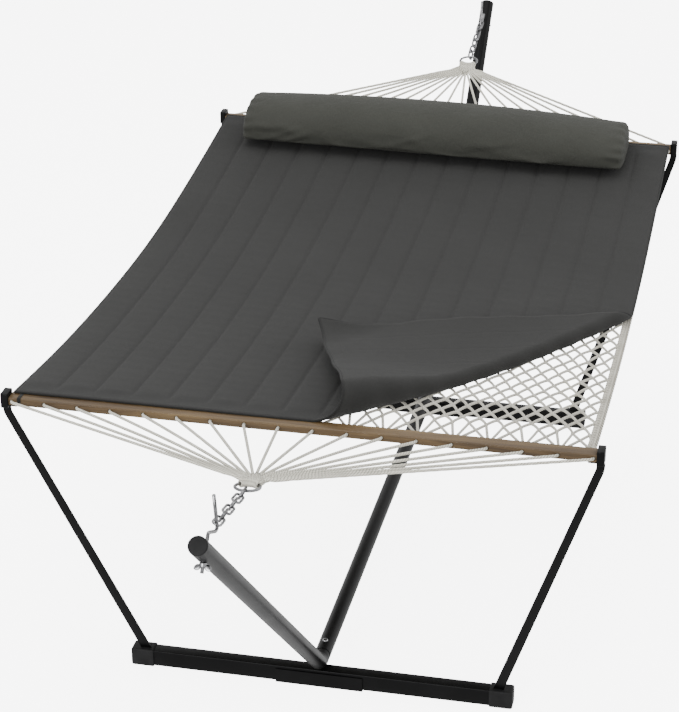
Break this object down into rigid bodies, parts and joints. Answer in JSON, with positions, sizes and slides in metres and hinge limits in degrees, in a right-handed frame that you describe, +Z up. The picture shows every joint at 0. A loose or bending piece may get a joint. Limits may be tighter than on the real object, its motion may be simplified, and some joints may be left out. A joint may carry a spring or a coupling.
{
  "type": "hammock on stand",
  "caption": "Double rope hammock with a quilted pad, wooden spreader bars and a bolster pillow, carried by a black steel stand with curved arms, stays and chains.",
  "frame": {"origin": "on the floor under the middle of the stand", "axes": "+X across the bed to the right as seen from the front end, +Y along the bed from the front end to the pillow end, +Z up"},
  "size_m": [1.4516, 3.7638, 1.081],
  "materials": {
    "black_steel": "black powder coat, satin",
    "black_plastic": "moulded, matt",
    "bright_steel": "zinc plated, bright",
    "wood": "brown stained hardwood, satin",
    "rope": "twisted off-white cotton and polyester",
    "pad_cloth": "dark grey woven cloth, quilted in channels",
    "pillow_cloth": "charcoal olive woven cloth"
  },
  "bodies": {
    "stand": {"central_beam": "black_steel", "front_arm": "black_steel", "front_arm_cap": "black_plastic", "front_chain_link_1": "bright_steel", "front_chain_link_2": "bright_steel", "front_chain_link_3": "bright_steel", "front_chain_link_4": "bright_steel", "front_chain_link_5": "bright_steel", "front_chain_link_6": "bright_steel", "front_crossbar": "black_steel", "front_harness": "rope", "front_hook": "bright_steel", "front_joint_bolt": "bright_steel", "front_joint_nut": "bright_steel", "front_left_bar_bracket": "black_steel", "front_left_bar_screw": "black_steel", "front_left_foot": "black_plastic", "front_left_stay": "black_steel", "front_right_bar_bracket": "black_steel", "front_right_bar_screw": "black_steel", "front_right_foot": "black_plastic", "front_right_stay": "black_steel", "front_ring": "bright_steel", "front_saddle": "black_steel", "front_spreader_bar": "wood", "left_border_rope": "rope", "net_bed": "rope", "pad": "pad_cloth", "pad_corner_loop": "pad_cloth", "pillow_left_strap": "pillow_cloth", "pillow_right_strap": "pillow_cloth", "rear_arm": "black_steel", "rear_arm_cap": "black_plastic", "rear_chain_link_1": "bright_steel", "rear_chain_link_2": "bright_steel", "rear_chain_link_3": "bright_steel", "rear_chain_link_4": "bright_steel", "rear_chain_link_5": "bright_steel", "rear_chain_link_6": "bright_steel", "rear_crossbar": "black_steel", "rear_harness": "rope", "rear_hook": "bright_steel", "rear_joint_bolt": "bright_steel", "rear_joint_nut": "bright_steel", "rear_left_bar_bracket": "black_steel", "rear_left_bar_screw": "black_steel", "rear_left_foot": "black_plastic", "rear_left_stay": "black_steel", "rear_right_bar_bracket": "black_steel", "rear_right_bar_screw": "black_steel", "rear_right_foot": "black_plastic", "rear_right_stay": "black_steel", "rear_ring": "bright_steel", "rear_saddle": "black_steel", "rear_spreader_bar": "wood", "right_border_rope": "rope"},
    "pillow": {"pillow": "pillow_cloth"},
    "front_wing_nut": {"front_wing_nut": "bright_steel"},
    "rear_wing_nut": {"rear_wing_nut": "bright_steel"}
  },
  "joints": [
    {"name": "pillow_flip", "type": "hinge", "parent": "stand", "child": "pillow", "pos_m": [0, 1.0415, 0.8865], "axis": [-1, 0, 0], "range_deg": [0, 20]},
    {"name": "front_wing_nut_turn", "type": "hinge", "parent": "stand", "child": "front_wing_nut", "pos_m": [0, -1.8171, 0.9897], "axis": [0, 0.6711, 0.7414], "continuous": true},
    {"name": "rear_wing_nut_turn", "type": "hinge", "parent": "stand", "child": "rear_wing_nut", "pos_m": [0, 1.8171, 0.9897], "axis": [0, -0.6711, 0.7414], "continuous": true}
  ]
}
